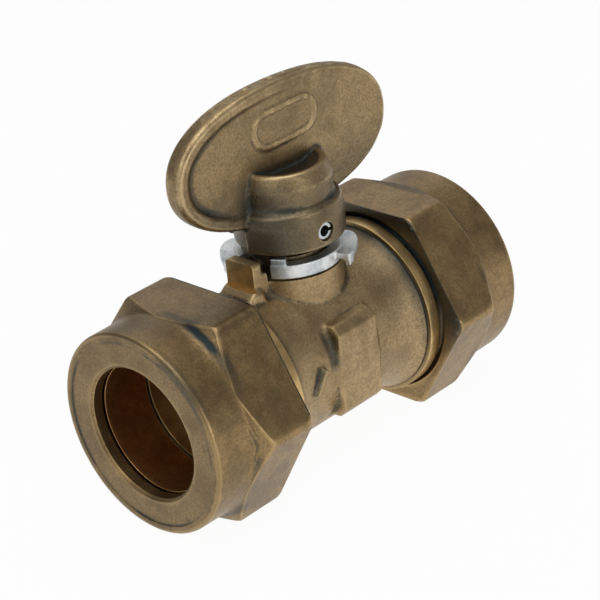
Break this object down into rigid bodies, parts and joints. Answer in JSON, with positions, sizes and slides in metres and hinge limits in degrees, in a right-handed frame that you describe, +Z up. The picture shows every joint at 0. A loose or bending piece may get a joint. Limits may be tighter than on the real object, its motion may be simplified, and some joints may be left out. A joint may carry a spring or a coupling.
{
  "type": "straight compression isolating cock",
  "caption": "Straight brass isolating cock for 15 mm tube, with two compression nuts and a cast fan lever turned a quarter turn",
  "frame": {"origin": "on the plane of the two nuts' lower flats, under the point where the stem axis meets the tube axis", "axes": "+X along the tube from the near nut to the far nut, +Z up the stem to the lever, +Y across"},
  "size_m": [0.05, 0.0278, 0.0444],
  "materials": {
    "forged_brass": "dull forged brass, with turned shoulders",
    "turned_brass": "dull brass with a turned boss",
    "cast_brass": "dull forged brass with a rough flash line",
    "olive_brass": "turned, orange in the shade",
    "retainer_brass": "turned",
    "stem_brass": "turned bright",
    "plated_steel": "zinc plated sheet steel",
    "pin_steel": "spring steel",
    "plated_ball": "chrome plated brass",
    "seat_polymer": "white slippery seat material",
    "seal_rubber": "black nitrile"
  },
  "bodies": {
    "valve_frame": {"valve_body": "forged_brass", "near_seat": "seat_polymer", "far_seat": "seat_polymer", "near_seat_o_ring": "seal_rubber", "far_seat_o_ring": "seal_rubber", "seat_retainer": "retainer_brass", "thrust_washer": "seat_polymer", "stop_ring": "plated_steel"},
    "lever_group": {"lever": "cast_brass", "roll_pin": "pin_steel", "stem": "stem_brass", "ball": "plated_ball", "lower_stem_o_ring": "seal_rubber", "upper_stem_o_ring": "seal_rubber"},
    "near_olive_body": {"near_olive": "olive_brass"},
    "near_nut_body": {"near_nut": "turned_brass"},
    "far_olive_body": {"far_olive": "olive_brass"},
    "far_nut_body": {"far_nut": "turned_brass"}
  },
  "joints": [
    {"name": "lever_turn", "type": "hinge", "parent": "valve_frame", "child": "lever_group", "pos_m": [0, 0, 0.012], "axis": [0, 0, -1], "range_deg": [0, 90]},
    {"name": "near_nut_travel", "type": "slide", "parent": "valve_frame", "child": "near_olive_body", "axis": [-1, 0, 0], "range_m": [0, 0.00544]},
    {"name": "near_nut_turn", "type": "hinge", "parent": "near_olive_body", "child": "near_nut_body", "pos_m": [-0.02, 0, 0.012], "axis": [-1, 0, 0], "range_deg": [0, 1080]},
    {"name": "far_nut_travel", "type": "slide", "parent": "valve_frame", "child": "far_olive_body", "axis": [1, 0, 0], "range_m": [0, 0.00544]},
    {"name": "far_nut_turn", "type": "hinge", "parent": "far_olive_body", "child": "far_nut_body", "pos_m": [0.02, 0, 0.012], "axis": [1, 0, 0], "range_deg": [0, 1080]}
  ],
  "couplings": [
    {"joint": "near_nut_travel", "follows": "near_nut_turn", "m_per_rad": 0.0002887},
    {"joint": "far_nut_travel", "follows": "far_nut_turn", "m_per_rad": 0.0002887}
  ]
}
